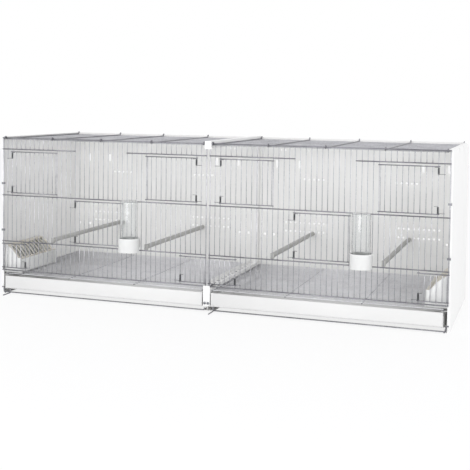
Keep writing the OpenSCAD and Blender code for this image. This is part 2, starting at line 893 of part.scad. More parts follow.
// The spout's side, seen along the cage: a quarter round that falls to its far end
module spout_side() {
    back = -cup_y - wire_d;
    square([back, spout_h + spout_rise]);
    square([spout_reach - cup_y, spout_h]);
    translate([back, spout_h])
        intersection() {
            scale([spout_reach - cup_y - back, spout_rise])
                circle(r = 1, $fn = fine);
            square([spout_reach - cup_y, spout_rise]);
        }
}

module drinker_cup(half) {
    x = bar_x(half, cup_bay);
    centre = front_y + cup_y;
    r = cup_d / 2;
    inner = r - cup_wall;
    spout_z = low_z + rod_d / 2 + 1.5 * clear; // over the low rod of the front
    spout_end = front_y + spout_reach;
    color(white)
        difference() {
            union() {
                translate([x, centre, cup_z])
                    cylinder(r = r, h = cup_h, $fn = fine);
                intersection() {
                    translate([x - spout_w / 2, centre, spout_z])
                        rotate([90, 0, 90])
                            linear_extrude(spout_w)
                                spout_side();
                    block([x - spout_w, centre + inner - 2, 0], [x + spout_w, spout_end, cup_z + cup_h]);
                }
            }
            translate([x, centre, cup_z + cup_floor])
                cylinder(r = inner, h = cup_h, $fn = fine);
            block([x - spout_w / 2 + cup_wall, centre, spout_z + cup_wall],
                [x + spout_w / 2 - cup_wall, spout_end - cup_wall, cup_z + cup_h + 1]);
        }
}

module drinker_tube(half) {
    r = tube_d / 2;
    color([0.85, 0.90, 0.92, 0.4])
        translate([bar_x(half, cup_bay), front_y + cup_y, cup_z + cup_floor + clear])
            difference() {
                rotate_extrude($fn = fine)
                    difference() {
                        tube_half(r, tube_dome, tube_h);
                        translate([0, -1])
                            tube_half(r - tube_wall, tube_dome - tube_wall, tube_h - tube_wall + 1);
                    }
                block([-mouth_w / 2, -r - 1, -1], [mouth_w / 2, r + 1, mouth_h]);
            }
}

// Half of a tube's outline: straight, then a quarter round into a flat top
module tube_half(r, round_r, h) {
    square([r, h - round_r]);
    square([r - round_r, h]);
    translate([r - round_r, h - round_r])
        intersection() {
            circle(r = round_r, $fn = fine);
            square(round_r);
        }
}

side_panel(LEFT);  // left_side_panel
side_panel(RIGHT);  // right_side_panel
back_panel(LEFT);  // back_panel_left
back_panel(RIGHT);  // back_panel_right
rear_post();
roof_crossbar();
centre_rail();
centre_plate();
plate_bolts();
front_clips();
roof_grid(LEFT);  // roof_grid_left
roof_grid(RIGHT);  // roof_grid_right
front_grid(LEFT);  // front_grid_left
front_grid(RIGHT);  // front_grid_right
nest_door(LEFT, true);  // nest_door_1
nest_door(LEFT, false);  // nest_door_2
nest_door(RIGHT, true);  // nest_door_3
nest_door(RIGHT, false);  // nest_door_4
centre_door(LEFT);  // centre_door_left
centre_door(RIGHT);  // centre_door_right
feeder_door(LEFT, true);  // feeder_door_1
feeder_door(LEFT, false);  // feeder_door_2
feeder_door(RIGHT, true);  // feeder_door_3
feeder_door(RIGHT, false);  // feeder_door_4
hinge_springs(LEFT);  // hinge_springs_left
hinge_springs(RIGHT);  // hinge_springs_right
tray(LEFT);  // tray_left
tray(RIGHT);  // tray_right
floor_grid(LEFT);  // floor_grid_left
floor_grid(RIGHT);  // floor_grid_right
base_rod_front(LEFT);  // base_rod_front_left
base_rod_front(RIGHT);  // base_rod_front_right
base_rod_rear(LEFT);  // base_rod_rear_left
base_rod_rear(RIGHT);  // base_rod_rear_right
feeder(LEFT);  // feeder_left
feeder(RIGHT);  // feeder_right
feeder_comb(LEFT);  // feeder_comb_left
feeder_comb(RIGHT);  // feeder_comb_right
perch(LEFT, 0);  // perch_1
perch(LEFT, 1);  // perch_2
perch(RIGHT, 0);  // perch_3
perch(RIGHT, 1);  // perch_4
drinker_cup(LEFT);  // drinker_cup_left
drinker_cup(RIGHT);  // drinker_cup_right
drinker_tube(LEFT);  // drinker_tube_left
drinker_tube(RIGHT);  // drinker_tube_right
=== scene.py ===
import json
import math

import bpy
import numpy as np
from mathutils import Matrix, Vector


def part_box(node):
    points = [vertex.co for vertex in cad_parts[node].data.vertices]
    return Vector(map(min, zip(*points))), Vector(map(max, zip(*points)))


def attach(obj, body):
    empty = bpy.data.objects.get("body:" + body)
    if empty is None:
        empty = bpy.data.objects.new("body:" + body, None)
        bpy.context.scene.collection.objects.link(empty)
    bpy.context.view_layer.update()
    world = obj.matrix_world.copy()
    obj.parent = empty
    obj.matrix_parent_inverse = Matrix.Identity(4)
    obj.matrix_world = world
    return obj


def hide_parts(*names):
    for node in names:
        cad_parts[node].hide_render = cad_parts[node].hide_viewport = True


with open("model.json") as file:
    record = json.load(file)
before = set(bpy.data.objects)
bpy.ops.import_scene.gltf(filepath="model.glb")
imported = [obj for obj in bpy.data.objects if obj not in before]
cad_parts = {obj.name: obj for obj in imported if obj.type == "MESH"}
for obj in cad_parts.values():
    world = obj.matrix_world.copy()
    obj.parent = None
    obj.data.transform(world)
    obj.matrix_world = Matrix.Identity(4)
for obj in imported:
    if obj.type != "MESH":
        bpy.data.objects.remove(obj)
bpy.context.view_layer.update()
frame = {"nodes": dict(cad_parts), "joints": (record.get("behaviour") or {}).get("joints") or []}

# ---- Camera
# The photograph was taken from the front, a little to the right and from just
# above the roof, with the lens shifted down. Lengths are metres.

picture = 470  # pixels along each side of the photograph
focal = 920  # pixels, from the fit of the cage's corners and rods
horizon_rise = 95  # pixels from the picture's middle up to the lens axis
camera_place = Vector((0.810, -2.335, 0.532))
azimuth, dip, roll = math.radians(18.95), math.radians(2.44), 0.013

forward = Vector((-math.sin(azimuth) * math.cos(dip), math.cos(azimuth) * math.cos(dip), -math.sin(dip)))
level = Vector((math.cos(azimuth), math.sin(azimuth), 0))
upright = level.cross(forward)
right = math.cos(roll) * level + math.sin(roll) * upright
up = math.cos(roll) * upright - math.sin(roll) * level

camera = bpy.data.objects.new("camera", bpy.data.cameras.new("camera"))
camera.data.sensor_width = 36
camera.data.lens = camera.data.sensor_width * focal / picture
camera.data.shift_y = -horizon_rise / picture
camera.data.clip_end = 50
turn = Matrix((right, up, -forward)).transposed().to_4x4()
camera.matrix_world = Matrix.Translation(camera_place) @ turn
bpy.context.scene.collection.objects.link(camera)
bpy.context.scene.camera = camera

# ---- Studio
# White floor and backdrop, one wide lamp in front and a little above the cage,
# and a weaker one from the right, so that the wires have a bright and a dark side.


def linear(code):
    """The linear colour of an sRGB hex code: each channel through the sRGB curve"""
    value = np.array([int(code[i:i + 2], 16) for i in (1, 3, 5)]) / 255
    low, high = value / 12.92, ((value + 0.055) / 1.055) ** 2.4
    return (*np.where(value <= 0.04045, low, high), 1.0)


def add_node(tree, kind, inputs=None, **settings):
    """Adds a node. settings are its properties; inputs are values, or sockets to link from"""
    node = tree.nodes.new("ShaderNode" + kind)
    for name, value in settings.items():
        setattr(node, name, value)
    for name, value in (inputs or {}).items():
        if isinstance(value, bpy.types.NodeSocket):
            tree.links.new(value, node.inputs[name])
        else:
            node.inputs[name].default_value = value
    return node


def bare_material(name):
    """A new material and its node tree, which is left empty"""
    material = bpy.data.materials.new(name)
    material.use_nodes = True
    material.node_tree.nodes.clear()
    return material, material.node_tree


def plain_rays(tree):
    """1 for the rays that see a plain white background: from the camera, off metal and through glass"""
    rays = add_node(tree, "LightPath")
    straight = add_node(tree, "Math", {
        0: rays.outputs["Is Camera Ray"], 1: rays.outputs["Is Transmission Ray"]}, operation="MAXIMUM")
    either = add_node(tree, "Math", {
        0: straight.outputs[0], 1: rays.outputs["Is Glossy Ray"]}, operation="MAXIMUM")
    return either.outputs[0]


scene = bpy.context.scene
scene.view_settings.view_transform = "Standard"
world = bpy.data.worlds.new("studio")
scene.world = world
world.use_nodes = True
sky = world.node_tree
sky.nodes.clear()
room = add_node(sky, "Background", {"Color": linear("#f6f6f8"), "Strength": 0.95})
white = add_node(sky, "Background", {"Color": (1, 1, 1, 1), "Strength": 1.0})
choice = add_node(sky, "MixShader", {0: plain_rays(sky), 1: room.outputs[0], 2: white.outputs[0]})
add_node(sky, "OutputWorld", {"Surface": choice.outputs[0]})

lamps = {  # place, the point it faces, width in metres and power in watts
    "front_lamp": ((-0.2, -3.0, 0.85), (0, 0, 0.2), 1.6, 28),
    "right_lamp": ((2.8, -1.2, 1.2), (0, 0, 0.2), 1.4, 14),
}
for name, (place, target, size, power) in lamps.items():
    lamp = bpy.data.objects.new(name, bpy.data.lights.new(name, "AREA"))
    lamp.data.size = size
    lamp.data.energy = power
    lamp.location = place
    lamp.rotation_euler = (Vector(target) - Vector(place)).to_track_quat("-Z", "Y").to_euler()
    scene.collection.objects.link(lamp)

floor_reach = 6.0
plain_share = 0.8  # of the floor as the camera sees it; the rest is paper, which keeps the shadow
floor_mesh = bpy.data.meshes.new("floor")
corners = floor_reach * np.array([[-1, -1, 0], [1, -1, 0], [1, 1, 0], [-1, 1, 0]], float)
floor_mesh.from_pydata(corners.tolist(), [], [(0, 1, 2, 3)])
floor = bpy.data.objects.new("floor", floor_mesh)
scene.collection.objects.link(floor)
floor_paper, tree = bare_material("white_paper")
paper = add_node(tree, "BsdfDiffuse", {"Color": linear("#f6f6f6")})
glow = add_node(tree, "Emission", {"Color": (1, 1, 1, 1), "Strength": 1.0})
share = add_node(tree, "Math", {0: plain_rays(tree), 1: plain_share}, operation="MULTIPLY")
mixed = add_node(tree, "MixShader", {0: share.outputs[0], 1: paper.outputs[0], 2: glow.outputs[0]})
add_node(tree, "OutputMaterial", {"Surface": mixed.outputs[0]})
floor_mesh.materials.append(floor_paper)

# ---- End panels, rear sheets, centre post, crossbar, divider channel and plate
# Folded steel sheet, 0.7 mm, powder-coated white: a faint orange-peel skin, a
# little uneven in tone, with the soft gloss of baked paint.


def painted_sheet(name, colour, shade):
    """Powder coat on steel. Orange peel about 1.2 mm across, tone changes over about 80 mm"""
    paint, tree = bare_material(name)
    place = add_node(tree, "TexCoord")
    tone = add_node(tree, "TexNoise", {"Vector": place.outputs["Object"], "Scale": 12.0, "Detail": 3.0})
    peel = add_node(tree, "TexNoise", {"Vector": place.outputs["Object"], "Scale": 800.0, "Detail": 1.0})
    mix = add_node(tree, "Mix", {
        0: tone.outputs["Fac"], 6: linear(colour), 7: linear(shade)}, data_type="RGBA")
    rough = add_node(tree, "MapRange", {"Value": tone.outputs["Fac"], "To Min": 0.30, "To Max": 0.42})
    bump = add_node(tree, "Bump", {"Height": peel.outputs["Fac"], "Strength": 0.08, "Distance": 0.0004})
    shader = add_node(tree, "BsdfPrincipled", {
        "Base Color": mix.outputs[2], "Roughness": rough.outputs[0], "Normal": bump.outputs[0],
        "IOR": 1.5, "Coat Weight": 0.15, "Coat Roughness": 0.2})
    add_node(tree, "OutputMaterial", {"Surface": shader.outputs[0]})
    return paint


def dress(node, material):
    """Gives a CAD node its material"""
    for slot in frame["nodes"][node].material_slots:
        slot.material = material


white_coat = painted_sheet("white_powder_coat", "#f4f4f3", "#eeeeed")
for name in ("left_side_panel", "right_side_panel", "rear_post", "roof_crossbar", "centre_rail",
             "centre_plate"):
    dress(name, white_coat)
# the rear sheets' coat is a little warmer, and lighter as painted light, which makes up for the shade the
# wires cast inside the cage
lit_rear_coat = painted_sheet("thin_white_powder_coat", "#f6f6f4", "#f0f0ee")
for name in ("back_panel_left", "back_panel_right"):
    dress(name, lit_rear_coat)

# ---- Wire fronts
# Drawn steel wire, 2 mm uprights welded to the back of 3 mm rods, then zinc
# plated: cool grey with fine streaks, brighter and duller in patches.


def zinc_plate(name, colour, dark, rough_low, rough_high):
    """Zinc on drawn wire. Spangle about 3 mm across, streaks of 0.3 mm and clouds of tone of 40 mm"""
    plating, tree = bare_material(name)
    place = add_node(tree, "TexCoord")
    spangle = add_node(tree, "TexNoise", {"Vector": place.outputs["Object"], "Scale": 320.0, "Detail": 2.0})
    streak = add_node(tree, "TexNoise", {"Vector": place.outputs["Object"], "Scale": 3000.0, "Detail": 1.0})
    cloud = add_node(tree, "TexNoise", {"Vector": place.outputs["Object"], "Scale": 25.0, "Detail": 2.0})
    both = add_node(tree, "Math", {
        0: spangle.outputs["Fac"], 1: cloud.outputs["Fac"]}, operation="MULTIPLY")
    spread = add_node(tree, "MapRange", {"Value": both.outputs[0], "From Min": 0.12, "From Max": 0.42})
    mix = add_node(tree, "Mix", {
        0: spread.outputs[0], 6: linear(colour), 7: linear(dark)}, data_type="RGBA")
    rough = add_node(tree, "MapRange", {
        "Value": spangle.outputs["Fac"], "To Min": rough_low, "To Max": rough_high})
    bump = add_node(tree, "Bump", {"Height": streak.outputs["Fac"], "Strength": 0.1, "Distance": 0.0001})
    shader = add_node(tree, "BsdfPrincipled", {
        "Base Color": mix.outputs[2], "Metallic": 1.0, "Roughness": rough.outputs[0],
        "Normal": bump.outputs[0]})
    add_node(tree, "OutputMaterial", {"Surface": shader.outputs[0]})
    return plating


crop, tip = 0.35, 0.72  # a wire's end narrows over crop radii, to tip radii


def swept(path, radius, across, sides=10):
    """Skins a round section carried along a path. Its rings stand square to the path, started from the
    direction across; the first and last are drawn in a little, so that the ends look cropped."""
    path = np.asarray(path, float)
    ends = path[[1, -2]] - path[[0, -1]]
    ends *= crop * radius / np.linalg.norm(ends, axis=1, keepdims=True)
    path = np.concatenate([path[:1], path[:1] + ends[:1], path[1:-1], path[-1:] + ends[1:], path[-1:]])
    along = np.gradient(path, axis=0)
    along /= np.linalg.norm(along, axis=1, keepdims=True)
    side = across - (along @ across)[:, None] * along
    side /= np.linalg.norm(side, axis=1, keepdims=True)
    other = np.cross(along, side)
    turn = 2 * np.pi * np.arange(sides) / sides
    size = np.full(len(path), radius)
    size[[0, -1]] *= tip
    spokes = np.cos(turn)[None, :, None] * side[:, None] + np.sin(turn)[None, :, None] * other[:, None]
    return skin(path[:, None] + size[:, None, None] * spokes)


def skin(rings):
    """Joins an array of closed rings with quads, and closes both ends. Rings turn left round the path"""
    count, sides = rings.shape[:2]
    at = np.arange(count * sides).reshape(count, sides)
    ahead = np.roll(at, -1, axis=1)
    quads = np.stack([at[:-1], ahead[:-1], ahead[1:], at[1:]], axis=-1).reshape(-1, 4)
    return rings.reshape(-1, 3), quads.tolist() + [at[0, ::-1].tolist(), at[-1].tolist()]


def bent(points, bend, steps=6):
    """Rounds the corners of a route: each becomes a parabola that leaves and meets the straights
    smoothly, at the distance bend from the corner"""
    points = np.asarray(points, float)
    corner, before, after = points[1:-1], points[:-2], points[2:]
    start = corner + bend * (before - corner) / np.linalg.norm(before - corner, axis=1, keepdims=True)
    end = corner + bend * (after - corner) / np.linalg.norm(after - corner, axis=1, keepdims=True)
    t = np.linspace(0, 1, steps)[None, :, None]
    curve = (1 - t) ** 2 * start[:, None] + 2 * t * (1 - t) * corner[:, None] + t ** 2 * end[:, None]
    return np.concatenate([points[:1], curve.reshape(-1, points.shape[1]), points[-1:]])


crease = math.radians(50)  # an edge that turns further than this is shaded as sharp


def piece(name, parts, material, body, slot, *nodes):
    """Makes one mesh object of (points, faces) parts, with its material, body and replaced nodes. slot is not
    used
    """
    points = np.concatenate([p for p, f in parts])
    starts = np.cumsum([0] + [len(p) for p, f in parts[:-1]])
    faces = [[i + s for i in face] for s, (p, f) in zip(starts.tolist(), parts) for face in f]
    mesh = bpy.data.meshes.new(name)
    mesh.from_pydata(points.tolist(), [], faces)
    thing = bpy.data.objects.new(name, mesh)
    scene.collection.objects.link(thing)
    mesh.materials.append(material)
    mesh.polygons.foreach_set("use_smooth", [True] * len(mesh.polygons))
    mesh.set_sharp_from_angle(angle=crease)
    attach(thing, body)
    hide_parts(*nodes)


thin, thick = 0.001, 0.0015  # radii of the uprights, and of the rods across them
weld = 0.0003  # how deep two welded wires sink into each other
bays = 43
along_x, along_y, along_z = np.eye(3)
hinges = {joint["child"]: joint for joint in frame["joints"] if joint["type"] == "hinge"}
front_y = hinges["nest_door_1"]["pos_m"][1]  # plane of the uprights' centres
rod_y = front_y - (thin + thick - weld)  # the rods pass before them
frame_y = front_y + (thick - thin)  # the thick uprights at both sides are level with the thin ones in front
door_thick = 0.00125  # radius of a door's rods
door_inset = 0.007  # from a fixed rod to the nearest rod of a door
# for each row from the bottom, the uprights at both sides of each opening
openings = [[(0, 5), (38, bays)], [(16, 26)], [(2, 12), (31, 41)], []]
header_stop, header_start = 16, 27  # between these uprights no rod runs over the nest doors
zinc = zinc_plate("zinc_plated_wire", "#cacace", "#a0a0a6", 0.28, 0.46)
# painted shade: the rods get a darker zinc than the uprights, which stands for the dark surroundings that
# they reflect
shaded_rod_zinc = zinc_plate("zinc_plated_rod", "#97979c", "#6a6a70", 0.22, 0.38)  # darker and glossier


def places(half):
    """x of the 44 places of a half, from one frame rod's centre to the other's in equal bays"""
    low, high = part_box("front_grid_" + half)
    return np.linspace(low.x + thick, high.x - thick, bays + 1)


def door_rods(door):
    """Heights of a door's two rods, one radius inside its box"""
    low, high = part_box(door)
    return low.z + door_thick, high.z - door_thick


def stretches(i):
    """First and last level of each stretch of upright i. It stops at the rods round a door's opening"""
    keep = [not any(first < i < last for first, last in row) for row in openings]
    rows = range(len(openings))
    starts = [row for row in rows if keep[row] and (row == 0 or not keep[row - 1])]
    ends = [row + 1 for row in rows if keep[row] and (row == rows[-1] or not keep[row + 1])]
    return zip(starts, ends)


nest_bottom, nest_top = door_rods("nest_door_1")
mid_z, header_z = nest_bottom - door_inset, nest_top + door_inset
low_z = door_rods("centre_door_left")[0] - door_inset
for half in ("left", "right"):
    low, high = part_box("front_grid_" + half)
    bottom_z = low.z + thick
    top_z = high.z - thick
    levels = [bottom_z, low_z, mid_z, header_z, top_z]
    x = places(half)
    wires = [swept([(x[i], front_y, levels[a] - thin), (x[i], front_y, levels[b] + thin)], thin, along_x)
             for i in range(1, bays) for a, b in stretches(i)]
    wires += [swept([(x[i], frame_y, bottom_z - thick), (x[i], frame_y, top_z + thick)], thick, along_x)
              for i in (0, bays)]
    spans = [(0, bays, z) for z in (bottom_z, low_z, mid_z, top_z)]
    spans += [(0, header_stop, header_z), (header_start, bays, header_z)]
    rods = [swept([(x[a] - thick, rod_y, z), (x[b] + thick, rod_y, z)], thick, along_z) for a, b, z in spans]
    piece("wire_front_" + half, wires, zinc, "cage", "zinc_wire", "front_grid_" + half)
    piece("front_rods_" + half, rods, shaded_rod_zinc, "cage", "zinc_wire")

# ---- Doors
# Each is its own grille of the same wire, with 2.5 mm rods whose ends are
# rolled into loops round an upright of the front, which is the hinge pin.

play = 0.0003  # air between a piece and what it turns, lies or hangs on
loop_r = thin + play + door_thick  # centre line of a loop round its pin
loop_turn = np.radians(np.arange(-90, 165, 15))  # from before the pin round behind it
door_wire_y = front_y - loop_r + door_thick + thin - weld
door_gap = 0.0032  # from a door's last upright to the next place of the front
bay = places("left")[1] - places("left")[0]

for door, hinge in hinges.items():
    x = hinge["pos_m"][0]
    side = -np.sign(hinge["axis"][2])
    low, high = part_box(door)
    reach = max(high.x - x, x - low.x)
    count = round(reach / bay)
    bottom, top = door_rods(door)
    uprights = x + side * np.append(bay * np.arange(1, count), count * bay - door_gap)
    wires = [swept([(at, door_wire_y, bottom - door_thick), (at, door_wire_y, top + door_thick)],
                   thin, along_x) for at in uprights]
    loop = np.stack([-side * loop_r * np.cos(loop_turn), loop_r * np.sin(loop_turn), 0 * loop_turn], axis=1)
    route = np.concatenate([[(side * reach, -loop_r, 0)], loop])
    rods = [swept(route + (x, front_y, z), door_thick, along_z) for z in (bottom, top)]
    piece(door + "_wires", wires, zinc, door, "zinc_wire", door)
    piece(door + "_rods", rods, shaded_rod_zinc, door, "zinc_wire")

# ---- Hinge springs
# Torsion springs coiled from 1 mm spring steel, dark and satin, slid on the hinge
# pins. One leg lies on a neighbouring upright, the other presses the door shut.

spring_steel = zinc_plate("blued_spring_steel", "#6c6d71", "#505156", 0.26, 0.40)
coil_r, coil_wire, coil_turns, coil_rise = 0.002, 0.0005, 13, 0.00114  # coil_rise is for one turn
leg, lever, spring_h = 0.016, 0.009, 0.016  # lengths of the two legs, and the height between them
round_steps, wire_sides = 14, 6  # points of a coil's turn, and faces round its wire
angle = np.linspace(0, 2 * np.pi * coil_turns, coil_turns * round_steps + 1)
rise = coil_turns * coil_rise * angle / angle[-1]
coils = {"left": [], "right": []}
for door, hinge in hinges.items():
    x = hinge["pos_m"][0]
    side = -np.sign(hinge["axis"][2])
    bottom, top = door_rods(door)
    feet = [bottom + door_thick + play + coil_wire]
    if not door.startswith("feeder"):  # a feeder door has the lower spring alone
        feet.append(top - door_thick - play - coil_wire - spring_h)
    helix = np.stack([side * coil_r * np.sin(angle), -coil_r * np.cos(angle), rise], axis=1)
    route = np.concatenate([[(-side * leg, -coil_r, 0)], helix])
    levers = []
    for foot in feet:
        place = np.array((x, front_y, foot))
        coils["left" if x < 0 else "right"].append(swept(route + place, coil_wire, along_z, wire_sides))
        start = np.array((0, -coil_r, spring_h)) + place
        levers.append(swept([start, start + (side * lever, 0, 0)], coil_wire, along_z, wire_sides))
    piece(door + "_spring_legs", levers, spring_steel, door, "spring_wire")
for half, parts in coils.items():
    piece("springs_" + half, parts, spring_steel, "cage", "spring_wire", "hinge_springs_" + half)

# ---- Wire roofs
# Rods from front to back with thin wires welded under them. The rods climb at
# both ends: they curl round the front's top rod and hook over the rear sheet.

roof_rods, roof_wires, roof_bend = 5, 30, 0.002
roof_drop = 0.0046  # from the raised ends of the rods down to the rest of them
front_flat, rear_flat, rear_hook = 0.0028, 0.0038, 0.010  # lengths of the raised ends and of the hook
wire_margin = 0.001
curl_r = 2 * thick + play
curl = np.radians(np.linspace(0, 175, 12))  # from over the top rod round its front to its foot
curl_end = 0.0002  # from the curl's last point to the next
for half in ("left", "right"):
    low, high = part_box("roof_grid_" + half)
    top_rod_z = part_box("front_grid_" + half)[1].z - thick
    outer, inner = (low.x, high.x) if half == "left" else (high.x, low.x)
    toward = np.sign(inner - outer)
    over_z = top_rod_z + curl_r
    field_z = over_z - roof_drop
    climb, fall = front_y + front_flat, high.y - 2 * thick - rear_flat
    end = np.stack([rod_y - curl_r * np.sin(curl), top_rod_z + curl_r * np.cos(curl)], axis=1)[::-1]
    route = [(rod_y + curl_end, over_z), (climb, over_z), (climb, field_z), (fall, field_z),
             (fall, high.z - thick), (high.y - thick, high.z - thick), (high.y - thick, high.z - rear_hook)]
    profile = np.concatenate([end, bent(route, roof_bend)])
    rods = [swept(np.insert(profile, 0, x, axis=1), thick, along_x)
            for x in np.linspace(outer + toward * thick, inner - toward * thick, roof_rods)]
    thin_z = field_z - thick + weld - thin
    wires = [swept([(low.x, y, thin_z), (high.x, y, thin_z)], thin, along_z)
             for y in np.linspace(climb + wire_margin, fall - wire_margin, roof_wires)]
    piece("wire_roof_" + half, wires, zinc, "cage", "zinc_wire", "roof_grid_" + half)
    piece("roof_rods_" + half, rods, shaded_rod_zinc, "cage", "zinc_wire")

# ---- Wire floors
# Cross wires, duller than the rest and coloured lighter as painted light, welded on
# top of rods. It lies on the runners, over the tray, and pulls out to the front.

# painted light: the floor's zinc is near white, so that the floor reads bright
lit_floor_zinc = zinc_plate("matt_zinc_plated_wire", "#f2f2f5", "#dcdce0", 0.55, 0.70)
floor_rods, floor_wires = 4, 28
for half in ("left", "right"):
    body = "floor_grid_" + half
    low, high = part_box(body)
    rods = [swept([(x, low.y, low.z + thick), (x, high.y, low.z + thick)], thick, along_z)
            for x in np.linspace(low.x + thick, high.x - thick, floor_rods)]
    wires = [swept([(low.x, y, high.z - thin), (high.x, y, high.z - thin)], thin, along_z)
             for y in np.linspace(low.y + thin, high.y - thin, floor_wires)]
    piece("wire_floor_" + half, wires, lit_floor_zinc, body, "zinc_wire", body)
    piece("floor_rods_" + half, rods, shaded_rod_zinc, body, "zinc_wire")

# ---- Base rods
# 3 mm rods under the trays. The front pair turn up at the outer ends into hooks.
# Each has a foot that rises to the tray and reaches forward along the ground.

rod_z = 0.0035  # height of the rods' centres
hook_in, short_in, tall_in, rear_in = 0.006, 0.010, 0.0255, 0.0193  # hooks and feet, from the outer end
inner_rise = 0.006  # the left front rod turns up at its inner end
rod_bend, foot_bend = 0.0035, 0.002
for half, way in (("left", 1), ("right", -1)):
    low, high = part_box("base_rod_front_" + half)
    outer, inner = (low.x, high.x - thick) if half == "left" else (high.x, low.x + thick)
    y, hook_z = high.y - thick, high.z - thick
    hook, short, tall = outer + way * hook_in, outer + way * short_in, inner
    route = [(outer, y, hook_z), (hook, y, hook_z), (hook, y, rod_z), (inner, y, rod_z)]
    if half == "left":
        tall = outer + tall_in
        route.append((inner, y, rod_z + inner_rise))
    ledge_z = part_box("tray_" + half)[0].z - play
    foot = [(tall, y, ledge_z), (tall, y, thick), (tall, low.y, thick)]
    parts = [swept(bent(route, rod_bend), thick, along_y), swept(bent(foot, foot_bend), thick, along_x),
             swept([(short, y, 0), (short, y, rod_z)], thick, along_x)]
    piece("front_base_rod_" + half, parts, shaded_rod_zinc, "cage", "zinc_wire", "base_rod_front_" + half)
    low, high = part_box("base_rod_rear_" + half)
    x = low.x + rear_in if half == "left" else high.x - rear_in
    y = (low.y + high.y) / 2
    parts = [swept([(low.x, y, rod_z), (high.x, y, rod_z)], thick, along_z),
             swept([(x, y, 0), (x, y, rod_z)], thick, along_x)]
    piece("rear_base_rod_" + half, parts, shaded_rod_zinc, "cage", "zinc_wire", "base_rod_rear_" + half)

# ---- Straps and bolts
# Zinc-plated steel: straps pressed from strip hold the front on the end panels,
# and two pan-head bolts hold the plate between the trays.

plated_steel = zinc_plate("zinc_plated_screw", "#8f9095", "#6d6e73", 0.30, 0.45)
dress("front_clips", plated_steel)


def lathe(profile, centre, sides, drop=None):
    """Turns (radius, height) points about an upright axis: ring by ring, x = r cos a and y = r sin a.
    The profile runs up the outside. drop adds a height to each point, from an array of rings by sides."""
    turn = 2 * np.pi * np.arange(sides) / sides
    r, z = np.asarray(profile, float).T[:, :, None]
    rings = np.stack([r * np.cos(turn), r * np.sin(turn), np.repeat(z, sides, 1)], axis=2)
    if drop is not None:
        rings[:, :, 2] += drop
    return skin(rings + np.asarray(centre, float))


low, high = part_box("plate_bolts")
head_r, head_h, under_r, shank_r, head_sides = 0.0035, 0.0024, 0.0022, 0.0019, 24
recess_r, recess_d, recess_edge = 0.0011, 0.0009, 0.97 * head_h
rim_h, rim_ease = 0.4 * head_h, 0.0002  # the head's straight side, and its broken lower edge
dome = np.radians(np.linspace(90, 20, 7))  # from the head's rim up towards its recess
pan_head = np.concatenate([
    [(under_r, 0), (head_r - rim_ease, 0)],
    np.stack([head_r * np.sin(dome), rim_h + (head_h - rim_h) * np.cos(dome)], axis=1),
    [(recess_r, recess_edge), (recess_r, head_h - recess_d)]])
points, faces = lathe(pan_head, (0, 0, 0), head_sides)
front, z = low.y + head_h, (low.z + high.z) / 2
bolts = []
for x in (low.x + head_r, high.x - head_r):
    bolts.append((np.stack([x + points[:, 0], front - points[:, 2], z + points[:, 1]], axis=1), faces))
    bolts.append(swept([(x, front, z), (x, high.y, z)], shank_r, along_z))
piece("plate_bolt_heads", bolts, plated_steel, "cage", "screw_steel", "plate_bolts")

# ---- Trays
# Each is folded from painted sheet, its white made a little greyer as painted shade,
# which holds the trays down under the front lamp: a tall front whose top is turned
# back, a floor, and three low walls with a hem on top.


def strip(path, thickness):
    """Closed outline of a sheet seen on edge: its path moved half a thickness to either side, mitred"""
    path = np.asarray(path, float)
    step = np.diff(path, axis=0)
    step /= np.linalg.norm(step, axis=1, keepdims=True)
    normal = np.stack([-step[:, 1], step[:, 0]], axis=1)
    before, after = np.concatenate([normal[:1], normal]), np.concatenate([normal, normal[-1:]])
    mitre = (before + after) / (1 + (before * after).sum(1, keepdims=True)) * thickness / 2
    return np.concatenate([path + mitre, (path - mitre)[::-1]])


def carried(outline, way, start, end, ease=0.0003):
    """Extrudes a closed outline of (y, z), (x, z) or (x, y) points along x, y or z, from start up to end.
    It is drawn in by ease at both ends, so that its edges are broken."""
    outline = np.asarray(outline, float)
    if way == "y":
        outline = outline[:, ::-1]
    if (outline[:, 0] * np.roll(outline[:, 1], -1) - outline[:, 1] * np.roll(outline[:, 0], -1)).sum() < 0:
        outline = outline[::-1]
    step = np.roll(outline, -1, 0) - np.roll(outline, 1, 0)
    step /= np.maximum(np.linalg.norm(step, axis=1, keepdims=True), 1e-9)
    drawn = outline + ease * np.stack([-step[:, 1], step[:, 0]], axis=1)
    run = [(drawn, start), (outline, start + ease), (outline, end - ease), (drawn, end)]
    rings = np.stack([np.insert(ring, 2, at, axis=1) for ring, at in run])
    return skin(rings[:, :, {"x": (2, 0, 1), "y": (1, 2, 0), "z": (0, 1, 2)}[way]])


